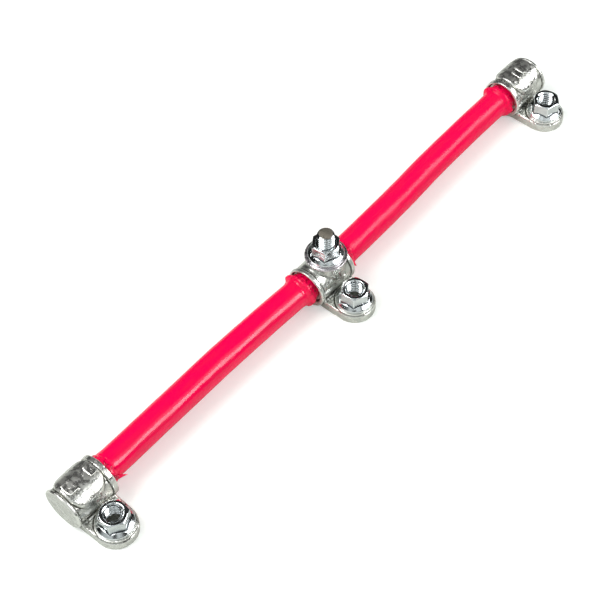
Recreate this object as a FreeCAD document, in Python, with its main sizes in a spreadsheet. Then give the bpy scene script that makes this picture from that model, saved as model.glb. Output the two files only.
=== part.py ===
"""Battery jumper bar: a red cable with three cast ear terminals, a stud and its flange nuts.

Millimetres. +X runs along the bar, +Z is up and the ears point to -Y. The origin is the
axis of the centre ear's hole, on the underside that every terminal stands on.
"""
import FreeCAD, Part
import math
import os
import re

import Sketcher
from FreeCAD import Rotation, Vector

# Every driving size, with what it measures
SIZES = {
    "pitch": (178.0, "ear hole to ear hole along the bar"),
    "bow": (2.7, "end holes behind the centre hole"),
    "rim_radius": (12.0, "barrel at its rims"),
    "neck_drop": (0.8, "barrel between its rims, below them"),
    "barrel_half": (13.6, "half the barrel's length"),
    "rim_slope": (0.5, "run of the slope between rim and neck"),
    "rim_bevel": (0.5, "bevel of the rims' outer edges"),
    "rim_flat": (0.3, "depth that the flat underside takes off the rims"),
    "cap_rim": (1.6, "rim at a closed end"),
    "collar_rim": (3.0, "rim at the cable's mouth of an end terminal"),
    "centre_rim": (2.3, "rims of the centre terminal"),
    "centre_shift": (0.9, "centre barrel from its hole, toward -X"),
    "cap_wall": (2.4, "metal behind the cable's end"),
    "mouth_wall": (1.7, "metal round the cable's swollen end"),
    "saddle_rise": (0.9, "raised pad on an end barrel, above the rims"),
    "saddle_long": (21.0, "raised pad along the barrel"),
    "saddle_spread": (56.0, "raised pad's reach to each side of the top, degrees"),
    "saddle_corner": (6.5, "raised pad's corners in plan"),
    "saddle_shift": (0.7, "raised pad toward the closed end"),
    "saddle_bevel": (0.6, "bevel of the raised pad's edge"),
    "ear_thick": (5.4, "ear"),
    "ear_margin": (0.8, "ear's round end outside the nut's seat"),
    "ear_flare": (0.4, "each side of the ear, wider at the barrel than at the hole"),
    "ear_bevel": (0.6, "bevel of the ear's upper edge"),
    "crease_round": (1.5, "blend between the ear and the barrel"),
    "seat_margin": (0.7, "nut's seat outside the flange"),
    "seat_rise": (0.8, "nut's seat above the ear"),
    "hole_play": (0.39, "ear's hole round a stud, radially"),
    "nut_gap": (0.1, "nearest metal in front of an ear nut's flange"),
    "boss_radius": (10.6, "stud boss"),
    "boss_foot": (2.0, "blend between the boss and the barrel"),
    "stud_along": (1.8, "stud axis from the centre hole, toward +X"),
    "stud_front": (0.5, "stud axis in front of the barrel axis"),
    "stud_radius": (4.76, "stud, 3/8 inch over its thread"),
    "stud_length": (18.6, "stud above its boss"),
    "stud_chamfer": (0.9, "chamfer at the stud's end"),
    "head_bed": (0.6, "metal between the jacket's socket and the stud's head"),
    "head_radius": (7.5, "stud's cast-in head"),
    "head_thick": (2.0, "stud's cast-in head"),
    "head_cover": (2.0, "metal over the stud's head"),
    "washer_radius": (11.6, "washer's outside"),
    "washer_play": (0.44, "washer's hole round the stud, radially"),
    "washer_thick": (1.5, "washer"),
    "nut_across": (14.29, "nut across its flats, 9/16 inch"),
    "nut_tall": (10.0, "nut with its flange"),
    "flange_radius": (9.9, "nut's flange"),
    "flange_edge": (1.8, "height of the flange's upright edge"),
    "cone_inset": (0.3, "top of the flange's cone inside the flats"),
    "cone_rise": (2.4, "flange's cone above its upright edge"),
    "crown_inset": (0.35, "chamfer circle on the nut's top inside the flats"),
    "crown_drop": (0.85, "how far the chamfer falls to the corners"),
    "mouth_bevel": (0.74, "countersink at both ends of the nut's bore"),
    "thread_play": (0.1, "nut's plain bore round the stud, radially"),
    "left_nut_turn": (27.0, "turn of the nut on the left ear, degrees"),
    "centre_nut_turn": (36.0, "turn of the nut on the centre ear, degrees"),
    "right_nut_turn": (43.0, "turn of the nut on the right ear, degrees"),
    "stud_nut_turn": (36.0, "turn of the nut on the stud, degrees"),
    "conductor_radius": (6.5, "copper conductor"),
    "jacket_wall": (1.5, "red jacket"),
    "cable_lift": (0.7, "cable axis above the barrel axis"),
    "cable_back": (0.3, "cable axis behind the barrel axis"),
    "socket_depth": (6.0, "how far the jacket reaches into a barrel"),
    "bead_sunk": (2.0, "swollen jacket end inside the barrel's mouth"),
    "bead_proud": (4.5, "swollen jacket end outside the mouth"),
    "bead_fall": (1.0, "swollen end's radius lost half way out"),
    "left_near_run": (5.0, "left cable from its swollen end to its bend near the centre"),
    "right_near_run": (26.8, "right cable from its swollen end to its bend near the centre"),
    "left_far_bend": (72.0, "left cable's outer bend, from the centre hole"),
    "right_far_bend": (104.0, "right cable's outer bend, from the centre hole"),
    "near_bend_radius": (140.0, "bends near the centre terminal"),
    "far_bend_radius": (700.0, "bends out along the cable"),
}

# Sizes and places that follow from the driving ones
PLACES = {
    "reach": "flange_radius + nut_gap + max(boss_radius + stud_front; rim_radius)",
    "axis_height": "rim_radius - rim_flat",
    "neck_radius": "rim_radius - neck_drop",
    "saddle_radius": "rim_radius + saddle_rise",
    "saddle_wide": "2 * saddle_radius * sin(saddle_spread)",
    "seat_radius": "flange_radius + seat_margin",
    "seat_top": "ear_thick + seat_rise",
    "ear_radius": "seat_radius + ear_margin",
    "ear_root": "ear_radius + ear_flare",
    "ear_hole": "stud_radius + hole_play",
    "jacket_radius": "conductor_radius + jacket_wall",
    "bead_radius": "rim_radius - mouth_wall",
    "cable_height": "axis_height + cable_lift",
    "cable_across": "reach + cable_back",
    "stud_across": "reach - stud_front",
    "stud_foot": "cable_height + jacket_radius + head_bed",
    "head_top": "stud_foot + head_thick",
    "boss_top": "head_top + head_cover",
    "stud_top": "boss_top + stud_length",
    "washer_top": "boss_top + washer_thick",
    "washer_hole": "stud_radius + washer_play",
    "nut_corner": "nut_across / sqrt(3)",
    "nut_bore": "stud_radius + thread_play",
    "nut_mouth": "nut_bore + mouth_bevel",
    "cone_radius": "nut_across / 2 - cone_inset",
    "cone_top": "flange_edge + cone_rise",
    "crown_radius": "nut_across / 2 - crown_inset",
}

START = 5.0  # where a sketch's curves stand until their expressions place them
SAME = 0.01  # two lengths closer than this are the same one
VOLUME_TOLERANCE = 0.001  # share by which a swept volume may miss its section times its length

doc = FreeCAD.newDocument("battery_jumper_bar")


def bound(text):
    """Write the owner's name before each size or place that an expression names."""
    def owned(word):
        owner = "Sizes." if word[0] in SIZES else "Places." if word[0] in PLACES else ""
        return owner + word[0]

    return re.sub(r"[a-z_]+", owned, text)


def size_sheet():
    """Put the driving sizes into the document's sheet and what follows from them beside it."""
    sheet = doc.addObject("Spreadsheet::Sheet", "Sizes")
    for row, (name, (value, meaning)) in enumerate(SIZES.items(), 1):
        sheet.set(f"A{row}", meaning)
        sheet.set(f"B{row}", str(value))
        sheet.setAlias(f"B{row}", name)
    doc.recompute()
    places = doc.addObject("App::VarSet", "Places")
    for name, text in PLACES.items():
        places.addProperty("App::PropertyFloat", name)
        places.setExpression(name, bound(text))
    doc.recompute()


def size(name):
    """A size or place as a number, for shapes that are worked out in code."""
    owner = doc.Sizes if name in SIZES else doc.Places
    return getattr(owner, name)


# Sketches and features that every body uses

def new_body(label, along="0", across="0", up="0", turn="0"):
    """An empty body whose own origin stands at the place given by four expressions."""
    body = doc.addObject("PartDesign::Body", label)
    body.Label = label
    body.setExpression("Placement.Base.x", bound(along))
    body.setExpression("Placement.Base.y", bound(across))
    body.setExpression("Placement.Base.z", bound(up))
    body.Placement.Rotation = Rotation(Vector(0, 0, 1), 0)
    body.setExpression("Placement.Rotation.Angle", bound(turn))
    return body


def new_sketch(body, name, plane="XY_Plane", lift="0"):
    """A sketch on one of the body's own planes, lifted off it by an expression."""
    sketch = body.newObject("Sketcher::SketchObject", name)
    face = [item for item in body.Origin.OriginFeatures if item.Role == plane][0]
    sketch.AttachmentSupport = [(face, "")]
    sketch.MapMode = "FlatFace"
    sketch.setExpression("AttachmentOffset.Base.z", bound(lift))
    return sketch


def pin_point(sketch, curve, end, across, up):
    """Hold a curve's end at two expressions, measured from the sketch's origin."""
    now = sketch.getPoint(curve, end)
    for kind, value, text in (("DistanceX", now.x, across), ("DistanceY", now.y, up)):
        number = sketch.addConstraint(Sketcher.Constraint(kind, -1, 1, curve, end, value))
        sketch.setExpression(f"Constraints[{number}]", bound(text))


def hold_radius(sketch, curve, now, radius):
    """Bind an arc's or circle's radius to an expression."""
    number = sketch.addConstraint(Sketcher.Constraint("Radius", curve, now))
    sketch.setExpression(f"Constraints[{number}]", bound(radius))


def polygon(body, name, corners, plane="XY_Plane", lift="0"):
    """A closed outline of straight lines through corners that are pairs of expressions."""
    sketch = new_sketch(body, name, plane, lift)
    count = len(corners)
    turns = [2 * math.pi * k / count for k in range(count)]
    ring = [Vector(START * math.cos(turn), START * math.sin(turn), 0) for turn in turns]
    for k in range(count):
        sketch.addGeometry(Part.LineSegment(ring[k], ring[(k + 1) % count]), False)
    for k in range(count):
        sketch.addConstraint(Sketcher.Constraint("Coincident", k, 2, (k + 1) % count, 1))
    for k, (across, up) in enumerate(corners):
        pin_point(sketch, k, 1, across, up)
    return sketch


def circle(body, name, radius, across="0", up="0", lift="0"):
    """A sketch of one circle."""
    sketch = new_sketch(body, name, lift=lift)
    sketch.addGeometry(Part.Circle(Vector(START, START, 0), Vector(0, 0, 1), START), False)
    hold_radius(sketch, 0, START, radius)
    pin_point(sketch, 0, 3, across, up)
    return sketch


def turning_axis(sketch, height):
    """A construction line along the sketch's X at a height, for a profile to turn about."""
    line = sketch.addGeometry(Part.LineSegment(Vector(-START, START, 0), Vector(START, START, 0)), True)
    pin_point(sketch, line, 1, "0", height)
    pin_point(sketch, line, 2, "barrel_half", height)


def pad(body, name, sketch, length):
    """Raise a sketch into solid."""
    feature = body.newObject("PartDesign::Pad", name)
    feature.Profile = sketch
    feature.setExpression("Length", bound(length))
    return feature


def pocket_down(body, name, sketch, length):
    """Cut a sketch into the solid below it."""
    feature = body.newObject("PartDesign::Pocket", name)
    feature.Profile = sketch
    feature.setExpression("Length", bound(length))
    return feature


def turned(body, kind, name, sketch, axis, angle=360):
    """Turn a profile round an axis, as added or removed material."""
    feature = body.newObject("PartDesign::" + kind, name)
    feature.Profile = sketch
    feature.ReferenceAxis = (sketch, [axis])
    feature.Angle = angle
    return feature


def dress_edges(body, kind, name, base, rule):
    """A fillet or chamfer on the edges of a feature that a rule picks."""
    doc.recompute()
    picked = [f"Edge{k}" for k, edge in enumerate(base.Shape.Edges, 1) if rule(edge)]
    feature = body.newObject("PartDesign::" + kind, name)
    feature.Base = (base, picked)
    return feature


def round_edges(body, name, base, rule, radius):
    """Round the edges of a feature that a rule picks."""
    feature = dress_edges(body, "Fillet", name, base, rule)
    feature.setExpression("Radius", bound(radius))
    return feature


def bevel_edges(body, name, base, rule, width):
    """Bevel the edges of a feature that a rule picks."""
    feature = dress_edges(body, "Chamfer", name, base, rule)
    feature.setExpression("Size", bound(width))
    return feature


# Cast terminals

def ear_plate(body):
    """The flat ear with a round end about its hole, run on under the barrel to its axis."""
    root = size("ear_root")
    end = size("ear_radius")
    back = size("reach")
    sketch = new_sketch(body, body.Label + "_ear_outline")
    sketch.addGeometry(Part.LineSegment(Vector(-root, back, 0), Vector(-end, 0, 0)))
    round_end = Part.Circle(Vector(0, 0, 0), Vector(0, 0, 1), end)
    sketch.addGeometry(Part.ArcOfCircle(round_end, math.pi, 2 * math.pi))
    sketch.addGeometry(Part.LineSegment(Vector(end, 0, 0), Vector(root, back, 0)))
    sketch.addGeometry(Part.LineSegment(Vector(root, back, 0), Vector(-root, back, 0)))
    sketch.addConstraint(Sketcher.Constraint("Coincident", 1, 3, -1, 1))
    sketch.addConstraint(Sketcher.Constraint("Tangent", 0, 2, 1, 1))
    sketch.addConstraint(Sketcher.Constraint("Tangent", 1, 2, 2, 1))
    sketch.addConstraint(Sketcher.Constraint("Coincident", 2, 2, 3, 1))
    sketch.addConstraint(Sketcher.Constraint("Coincident", 3, 2, 0, 1))
    hold_radius(sketch, 1, end, "ear_radius")
    pin_point(sketch, 0, 1, "-ear_root", "reach")
    pin_point(sketch, 2, 2, "ear_root", "reach")
    return pad(body, body.Label + "_ear", sketch, "ear_thick")


def round_bar(body, name, profile):
    """Turn corners, given from -X to +X as (place, radius), about the barrel's axis."""
    outline = [(profile[0][0], "reach")]
    outline += [(along, f"reach + {radius}") for along, radius in profile]
    outline.append((profile[-1][0], "reach"))
    sketch = polygon(body, name + "_profile", outline, lift="axis_height")
    turning_axis(sketch, "reach")
    return turned(body, "Revolution", name, sketch, "Axis0")


def ear_on_bar(body, shift):
    """The ear and the barrel's plain bar, with the crease between them blended."""
    label = body.Label
    top = size("ear_thick")
    ear_plate(body)
    bar = round_bar(body, label + "_bar", [
        (f"{shift} - barrel_half", "neck_radius"),
        (f"{shift} + barrel_half", "neck_radius"),
    ])

    def on_ear_top(edge):
        box = edge.BoundBox
        return box.ZMin > top - SAME and box.ZMax < top + SAME

    def crease(edge):
        return on_ear_top(edge) and edge.BoundBox.YLength < SAME

    def outline(edge):
        return on_ear_top(edge) and edge.BoundBox.YLength > SAME

    blended = round_edges(body, label + "_crease", bar, crease, "crease_round")
    return bevel_edges(body, label + "_ear_bevel", blended, outline, "ear_bevel")


def rims(body, first_rim, last_rim, shift):
    """The raised rim at each end of the barrel, with a bevelled edge, sloping down to the neck."""
    start = f"{shift} - barrel_half"
    end = f"{shift} + barrel_half"
    round_bar(body, body.Label + "_first_rim", [
        (start, "rim_radius - rim_bevel"),
        (f"{start} + rim_bevel", "rim_radius"),
        (f"{start} + {first_rim}", "rim_radius"),
        (f"{start} + {first_rim} + rim_slope", "neck_radius"),
    ])
    return round_bar(body, body.Label + "_last_rim", [
        (f"{end} - {last_rim} - rim_slope", "neck_radius"),
        (f"{end} - {last_rim}", "rim_radius"),
        (f"{end} - rim_bevel", "rim_radius"),
        (end, "rim_radius - rim_bevel"),
    ])


def stud_boss(body):
    """The round boss that holds the stud, blended into the bar below it."""
    label = body.Label
    outline = circle(body, label + "_boss_outline", "boss_radius", "stud_along", "stud_across", "axis_height")
    boss = pad(body, label + "_boss", outline, "boss_top - axis_height")

    def foot(edge):
        wall = [face for face in boss.Shape.Faces if face.Surface.TypeId == "Part::GeomCylinder"
                and abs(face.Surface.Radius - size("boss_radius")) < SAME]
        on_wall = any(edge.isSame(border) for face in wall for border in face.Edges)
        return on_wall and edge.Curve.TypeId == "Part::GeomBSplineCurve"

    return round_edges(body, label + "_boss_foot", boss, foot, "boss_foot")


def saddle(body, shift):
    """The raised pad with rounded corners that lies over the top of an end barrel."""
    half_long = size("saddle_long") / 2
    half_wide = size("saddle_wide") / 2
    inset = size("saddle_corner")
    sketch = new_sketch(body, body.Label + "_saddle_outline", lift="axis_height")
    for k, (a, b) in enumerate([(-1, -1), (1, -1), (1, 1), (-1, 1)]):
        centre = Vector(a * (half_long - inset), size("reach") + b * (half_wide - inset), 0)
        corner = Part.Circle(centre, Vector(0, 0, 1), inset)
        start = math.radians(180 + 90 * k)
        sketch.addGeometry(Part.ArcOfCircle(corner, start, start + math.pi / 2))
    for k in range(4):
        side = Part.LineSegment(sketch.getPoint(k, 2), sketch.getPoint((k + 1) % 4, 1))
        sketch.addGeometry(side)
        sketch.addConstraint(Sketcher.Constraint("Tangent", k, 2, 4 + k, 1))
        sketch.addConstraint(Sketcher.Constraint("Tangent", 4 + k, 2, (k + 1) % 4, 1))
        sketch.addConstraint(Sketcher.Constraint("Horizontal" if k % 2 == 0 else "Vertical", 4 + k))
        if k:
            sketch.addConstraint(Sketcher.Constraint("Equal", 0, k))
    hold_radius(sketch, 0, inset, "saddle_corner")
    along = "(saddle_long / 2 - saddle_corner)"
    across = "(saddle_wide / 2 - saddle_corner)"
    pin_point(sketch, 0, 3, f"{shift} - {along}", f"reach - {across}")
    pin_point(sketch, 2, 3, f"{shift} + {along}", f"reach + {across}")
    pad(body, body.Label + "_saddle_block", sketch, "saddle_radius + saddle_rise")
    outside = polygon(body, body.Label + "_saddle_trim_profile", [
        (f"{shift} - saddle_long", "reach + saddle_radius"),
        (f"{shift} + saddle_long", "reach + saddle_radius"),
        (f"{shift} + saddle_long", "reach + 2 * saddle_radius"),
        (f"{shift} - saddle_long", "reach + 2 * saddle_radius"),
    ], lift="axis_height")
    turning_axis(outside, "reach")
    trim = turned(body, "Groove", body.Label + "_saddle_trim", outside, "Axis0", 180)

    def pad_border(edge):
        tops = [face for face in trim.Shape.Faces
                if abs(getattr(face.Surface, "Radius", 0) - size("saddle_radius")) < SAME]
        return any(edge.isSame(border) for face in tops for border in face.Edges)

    return bevel_edges(body, body.Label + "_saddle_bevel", trim, pad_border, "saddle_bevel")


def cable_cavity(body, mouths):
    """What the cable fills: a wide mouth, the jacket's socket and the conductor's bore.

    mouths gives, from -X to +X, the two ends as (place, sign outward) for an open mouth,
    which is cleared as far out as the cable's swollen end, or (place, None) for the blind end.
    """
    outline = []
    for place, outward in mouths:
        steps = [(place, "conductor_radius")]
        if outward:
            inward = "+" if outward == "-" else "-"
            steps = [
                (f"{place} {outward} bead_proud", "bead_radius"),
                (f"{place} {inward} bead_sunk", "bead_radius"),
                (f"{place} {inward} bead_sunk", "jacket_radius"),
                (f"{place} {inward} socket_depth", "jacket_radius"),
                (f"{place} {inward} socket_depth", "conductor_radius"),
            ]
        if outline:
            steps.reverse()
        outline += [(along, f"cable_across + {radius}") for along, radius in steps]
    outline.append((outline[-1][0], "cable_across"))
    outline.append((outline[0][0], "cable_across"))
    profile = polygon(body, body.Label + "_cable_profile", outline, lift="cable_height")
    turning_axis(profile, "cable_across")
    return turned(body, "Groove", body.Label + "_cable_cavity", profile, "Axis0")


def finish_ear(body):
    """The nut's seat, the flat underside and the ear's hole."""
    seat = circle(body, body.Label + "_seat_outline", "seat_radius")
    pad(body, body.Label + "_seat", seat, "seat_top")
    under = polygon(body, body.Label + "_underside_outline", [
        ("-2 * barrel_half", "-rim_radius"),
        ("2 * barrel_half", "-rim_radius"),
        ("2 * barrel_half", "reach + 2 * rim_radius"),
        ("-2 * barrel_half", "reach + 2 * rim_radius"),
    ])
    pocket_down(body, body.Label + "_underside", under, "rim_radius")
    hole = circle(body, body.Label + "_hole_outline", "ear_hole", lift="seat_top")
    return pocket_down(body, body.Label + "_hole", hole, "seat_top")


def left_end_terminal():
    """The end terminal that is closed toward -X."""
    body = new_body("left_end_terminal", "-pitch", "bow")
    ear_on_bar(body, "0")
    rims(body, "cap_rim", "collar_rim", "0")
    saddle(body, "-saddle_shift")
    finish_ear(body)
    cable_cavity(body, [("-barrel_half + cap_wall", None), ("barrel_half", "+")])
    return body


def right_end_terminal():
    """The end terminal that is closed toward +X."""
    body = new_body("right_end_terminal", "pitch", "bow")
    ear_on_bar(body, "0")
    rims(body, "collar_rim", "cap_rim", "0")
    saddle(body, "saddle_shift")
    finish_ear(body)
    cable_cavity(body, [("-barrel_half", "-"), ("barrel_half - cap_wall", None)])
    return body


def centre_terminal():
    """The centre terminal, open at both ends, with the boss that holds the stud."""
    label = "centre_terminal"
    body = new_body(label)
    ear_on_bar(body, "-centre_shift")
    stud_boss(body)
    rims(body, "centre_rim", "centre_rim", "-centre_shift")
    finish_ear(body)
    cable_cavity(body, [("-centre_shift - barrel_half", "-"), ("-centre_shift + barrel_half", "+")])
    head = circle(body, label + "_head_outline", "head_radius", "stud_along", "stud_across", "head_top")
    pocket_down(body, label + "_head_pocket", head, "head_thick")
    shank = circle(body, label + "_shank_outline", "stud_radius", "stud_along", "stud_across", "boss_top")
    pocket_down(body, label + "_shank_pocket", shank, "head_cover")
    return body


# Stud, washer and nuts

def stud():
    """The threaded stud with the round head that the boss is cast round."""
    body = new_body("stud", "stud_along", "stud_across")
    profile = polygon(body, "stud_profile", [
        ("0", "stud_foot"),
        ("head_radius", "stud_foot"),
        ("head_radius", "head_top"),
        ("stud_radius", "head_top"),
        ("stud_radius", "stud_top - stud_chamfer"),
        ("stud_radius - stud_chamfer", "stud_top"),
        ("0", "stud_top"),
    ], plane="XZ_Plane")
    turned(body, "Revolution", "stud_turned", profile, "V_Axis")
    return body


def stud_washer():
    """The flat washer between the boss and the stud's nut."""
    body = new_body("stud_washer", "stud_along", "stud_across", "boss_top")
    profile = polygon(body, "washer_profile", [
        ("washer_hole", "0"),
        ("washer_radius", "0"),
        ("washer_radius", "washer_thick"),
        ("washer_hole", "washer_thick"),
    ], plane="XZ_Plane")
    turned(body, "Revolution", "washer_turned", profile, "V_Axis")
    return body


def flange_nut(label, along, across, up, turn):
    """A hexagon nut with a cast-on flange, standing on its flange."""
    body = new_body(label, along, across, up, turn)
    flange = polygon(body, label + "_flange_profile", [
        ("0", "0"),
        ("flange_radius", "0"),
        ("flange_radius", "flange_edge"),
        ("cone_radius", "cone_top"),
        ("0", "cone_top"),
    ], plane="XZ_Plane")
    turned(body, "Revolution", label + "_flange", flange, "V_Axis")
    corners = [(f"nut_corner * cos({60 * k})", f"nut_corner * sin({60 * k})") for k in range(6)]
    hexagon = polygon(body, label + "_hexagon", corners)
    pad(body, label + "_wrenching", hexagon, "nut_tall")
    fall = "crown_drop / (nut_corner - crown_radius)"
    crown = polygon(body, label + "_crown_profile", [
        ("crown_radius", "nut_tall"),
        ("2 * nut_corner", f"nut_tall - {fall} * (2 * nut_corner - crown_radius)"),
        ("2 * nut_corner", "2 * nut_tall"),
        ("crown_radius", "2 * nut_tall"),
    ], plane="XZ_Plane")
    turned(body, "Groove", label + "_crown", crown, "V_Axis")
    hollow = polygon(body, label + "_bore_profile", [
        ("0", "0"),
        ("nut_mouth", "0"),
        ("nut_bore", "mouth_bevel"),
        ("nut_bore", "nut_tall - mouth_bevel"),
        ("nut_mouth", "nut_tall"),
        ("0", "nut_tall"),
    ], plane="XZ_Plane")
    turned(body, "Groove", label + "_bore", hollow, "V_Axis")
    return body


# Cable, along one level route of straight runs and tangent bends

def route():
    """The corners of the cable's route with the radius of each bend, from left to right."""
    middle = size("cable_across")
    ends = middle + size("bow")
    blind = size("pitch") + size("barrel_half") - size("cap_wall")
    bead = size("barrel_half") + size("bead_proud")
    near = size("near_bend_radius")
    far = size("far_bend_radius")
    return [
        (-blind, ends, 0),
        (-size("left_far_bend"), ends, far),
        (-size("centre_shift") - bead - size("left_near_run"), middle, near),
        (-size("centre_shift") + bead + size("right_near_run"), middle, near),
        (size("right_far_bend"), ends, far),
        (blind, ends, 0),
    ]


def wire_along(corners):
    """One wire through the corners, each bend a tangent arc."""
    points = [Vector(x, y, size("cable_height")) for x, y, radius in corners]
    edges = []
    start = points[0]
    for k in range(1, len(points) - 1):
        before = (points[k - 1] - points[k]).normalize()
        after = (points[k + 1] - points[k]).normalize()
        half = (math.pi - before.getAngle(after)) / 2
        radius = corners[k][2]
        entry = points[k] + before * (radius * math.tan(half))
        leave = points[k] + after * (radius * math.tan(half))
        inside = (before + after).normalize()
        crown = points[k] + inside * (radius / math.cos(half) - radius)
        edges.append(Part.LineSegment(start, entry).toShape())
        edges.append(Part.Arc(entry, crown, leave).toShape())
        start = leave
    edges.append(Part.LineSegment(start, points[-1]).toShape())
    return Part.Wire(edges)


def tube_along(wire, radius):
    """A round solid swept along a wire that starts off along X."""
    start = wire.OrderedVertexes[0].Point
    ring = Part.Wire([Part.Circle(start, Vector(1, 0, 0), radius).toShape()])
    solid = wire.makePipeShell([ring], True, False)
    expected = math.pi * radius ** 2 * wire.Length
    if abs(solid.Volume - expected) > VOLUME_TOLERANCE * expected:
        raise RuntimeError("a cable solid departs from its section times its length")
    return solid


def swollen_end(mouth, outward, across):
    """The bead at a jacket's end, as the barrel's mouth shaped it."""
    height = size("cable_height")
    profile = [
        (-size("bead_sunk"), 0.0),
        (-size("bead_sunk"), size("bead_radius")),
        (0.0, size("bead_radius")),
        (size("bead_proud") / 2, size("bead_radius") - size("bead_fall")),
        (size("bead_proud"), size("jacket_radius")),
        (size("bead_proud"), 0.0),
    ]
    outline = [Vector(mouth + outward * along, across + radius, height) for along, radius in profile]
    face = Part.Face(Part.makePolygon(outline + outline[:1]))
    return face.revolve(Vector(0, across, height), Vector(1, 0, 0), 360)


def cable_piece(label, shape):
    """A piece of the cable, in the document under its own name."""
    part = doc.addObject("Part::Feature", label)
    part.Label = label
    part.Shape = shape.Solids[0] if len(shape.Solids) == 1 else shape
    return part


def jacket(label, corners, left_mouth, right_mouth):
    """A length of red jacket between two terminals, with a swollen bead at each mouth."""
    sunk = size("socket_depth")
    first = (left_mouth - sunk, corners[0][1], 0)
    last = (right_mouth + sunk, corners[-1][1], 0)
    wire = wire_along([first] + corners[1:-1] + [last])
    skin = tube_along(wire, size("jacket_radius"))
    skin = skin.fuse(swollen_end(left_mouth, 1, first[1]))
    skin = skin.fuse(swollen_end(right_mouth, -1, last[1]))
    core = tube_along(wire, size("conductor_radius"))
    return cable_piece(label, skin.cut(core).removeSplitter())


def cable():
    """The conductor, in one length through all three terminals, and its two jackets."""
    corners = route()
    centre_left = -size("centre_shift") - size("barrel_half")
    centre_right = -size("centre_shift") + size("barrel_half")
    end_mouth = size("pitch") - size("barrel_half")
    return [
        cable_piece("conductor", tube_along(wire_along(corners), size("conductor_radius"))),
        jacket("left_jacket", corners[:4], -end_mouth, centre_left),
        jacket("right_jacket", corners[2:], centre_right, end_mouth),
    ]


def build():
    """Every piece of the bar, in the order in which it would be put together."""
    size_sheet()
    pieces = cable()
    pieces += [left_end_terminal(), centre_terminal(), right_end_terminal()]
    pieces += [stud(), stud_washer()]
    pieces += [
        flange_nut("left_ear_nut", "-pitch", "bow", "seat_top", "left_nut_turn"),
        flange_nut("centre_ear_nut", "0", "0", "seat_top", "centre_nut_turn"),
        flange_nut("right_ear_nut", "pitch", "bow", "seat_top", "right_nut_turn"),
        flange_nut("stud_nut", "stud_along", "stud_across", "washer_top", "stud_nut_turn"),
    ]
    return pieces


def check_and_write(pieces):
    """Stop at any failed object, then write each piece to its own file."""
    doc.recompute()
    for item in doc.Objects:
        if "Invalid" in item.State or "Error" in item.State:
            raise RuntimeError(f"{item.Label} failed: {item.State}")
    os.makedirs("parts", exist_ok=True)
    for piece in pieces:
        shape = piece.Shape
        if shape.isNull() or not shape.isValid() or len(shape.Solids) != 1:
            raise RuntimeError(f"{piece.Label} is not one valid solid")
        shape.exportStep(f"parts/{piece.Label}.step")
        print(f"{piece.Label}: {shape.Volume:.1f} cubic mm, {len(shape.Faces)} faces")


check_and_write(build())
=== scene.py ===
"""Battery jumper bar: cast ear terminals on an insulated cable, with a stud and flange nuts.

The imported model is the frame. Each piece that shows is modelled over its own node, at the
node's place, and the conductor, which is hidden, keeps its node. Sizes are in mm and degrees
where nothing else is said, and MM turns them into metres.
"""

import contextlib
import logging
import math
from dataclasses import dataclass
from enum import Enum
from typing import Callable, Iterator

import bpy
import numpy as np
from mathutils import Euler, Matrix, Quaternion, Vector


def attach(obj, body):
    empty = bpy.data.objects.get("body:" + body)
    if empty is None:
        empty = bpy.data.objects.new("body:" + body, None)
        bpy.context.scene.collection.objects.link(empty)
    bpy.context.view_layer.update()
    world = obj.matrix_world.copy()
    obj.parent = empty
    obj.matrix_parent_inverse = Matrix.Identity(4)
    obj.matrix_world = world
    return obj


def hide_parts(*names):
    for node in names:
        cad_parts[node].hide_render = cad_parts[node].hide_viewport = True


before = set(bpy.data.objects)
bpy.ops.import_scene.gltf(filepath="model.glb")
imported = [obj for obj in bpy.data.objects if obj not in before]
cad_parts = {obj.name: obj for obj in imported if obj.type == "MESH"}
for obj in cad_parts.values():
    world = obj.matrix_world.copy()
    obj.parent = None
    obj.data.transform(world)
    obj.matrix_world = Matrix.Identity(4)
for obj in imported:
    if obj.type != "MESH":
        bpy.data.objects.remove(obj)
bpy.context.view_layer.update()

MM = 0.001
MERGE = 1e-6  # metres between points that are taken for one
FLAT = 0.5  # the attribute "ridge" where the skin is flat
STEEP = 2.5  # how fast it grows with the slope
LOG = logging.getLogger("jumper_bar")

Point = tuple[float, float, float]
Colour = tuple[float, float, float]
Outline = list[tuple[float, float]]
Piece = bpy.types.Object
Socket = bpy.types.NodeSocket


class Side(Enum):
    """Where a terminal sits on the cable, by its node's name."""

    LEFT = "left_end_terminal"
    CENTRE = "centre_terminal"
    RIGHT = "right_end_terminal"


class Slot(Enum):
    """Names of three material slots, which nothing here uses."""

    CASTING = "casting"
    JACKET = "jacket"
    PLATED = "plated_steel"


class Work(Enum):
    """What one closed shape does to another."""

    CUT = "DIFFERENCE"
    JOIN = "UNION"
    TRIM = "INTERSECT"


# Bench work: small helpers for modelling by hand


def only(piece: Piece) -> None:
    """Selects one piece alone and makes it active.

    Args:
        piece: the piece.
    """
    bpy.ops.object.select_all(action="DESELECT")
    piece.select_set(True)
    bpy.context.view_layer.objects.active = piece


def new_object(name: str, data: bpy.types.ID) -> Piece:
    """Puts a new object into the scene.

    Args:
        name: its name.
        data: what it is made of.

    Returns:
        The object.
    """
    made = bpy.data.objects.new(name, data)
    bpy.context.scene.collection.objects.link(made)
    return made


@contextlib.contextmanager
def edit(piece: Piece, kind: str = "VERT") -> Iterator[None]:
    """Edit mode on one piece with all of it selected, left again at the end.

    Args:
        piece: the mesh to edit.
        kind: the select mode.
    """
    only(piece)
    bpy.ops.object.mode_set(mode="EDIT")
    bpy.ops.mesh.select_mode(type=kind)
    bpy.ops.mesh.select_all(action="SELECT")
    try:
        yield
    finally:
        bpy.ops.object.mode_set(mode="OBJECT")


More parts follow.
